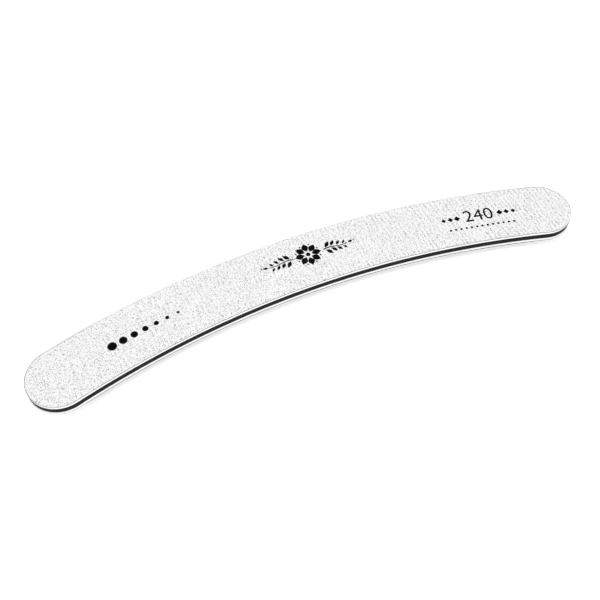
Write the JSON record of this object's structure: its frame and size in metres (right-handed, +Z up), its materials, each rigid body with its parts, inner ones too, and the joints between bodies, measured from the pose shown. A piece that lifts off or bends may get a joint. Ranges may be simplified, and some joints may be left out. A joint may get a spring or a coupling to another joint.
{
  "type": "nail file",
  "caption": "Curved double-sided nail file with round ends: abrasive paper and thin foam bonded to both faces of a black plastic core board.",
  "frame": {"origin": "on the surface that the file rests on, at the middle of the bounding box", "axes": "+X along the file's length, +Y towards the outer (convex) edge, +Z up out of the fine face"},
  "size_m": [0.178, 0.0306, 0.0041],
  "materials": {
    "core_plastic": "black moulded polystyrene sheet with a die-cut edge",
    "adhesive": "translucent acrylic adhesive film",
    "white_foam": "white closed-cell foam",
    "backing_paper": "white latex-filled backing paper",
    "fine_grit": "white and grey mottled stearate over fine abrasive grit",
    "coarse_grit": "white and grey mottled stearate over coarse abrasive grit"
  },
  "bodies": {
    "root": {"lower_grit_coat": "coarse_grit", "lower_backing_paper": "backing_paper", "lower_sheet_adhesive": "adhesive", "lower_foam_pad": "white_foam", "lower_core_adhesive": "adhesive", "core_board": "core_plastic", "upper_core_adhesive": "adhesive", "upper_foam_pad": "white_foam", "upper_sheet_adhesive": "adhesive", "upper_backing_paper": "backing_paper", "upper_grit_coat": "fine_grit"}
  },
  "joints": []
}
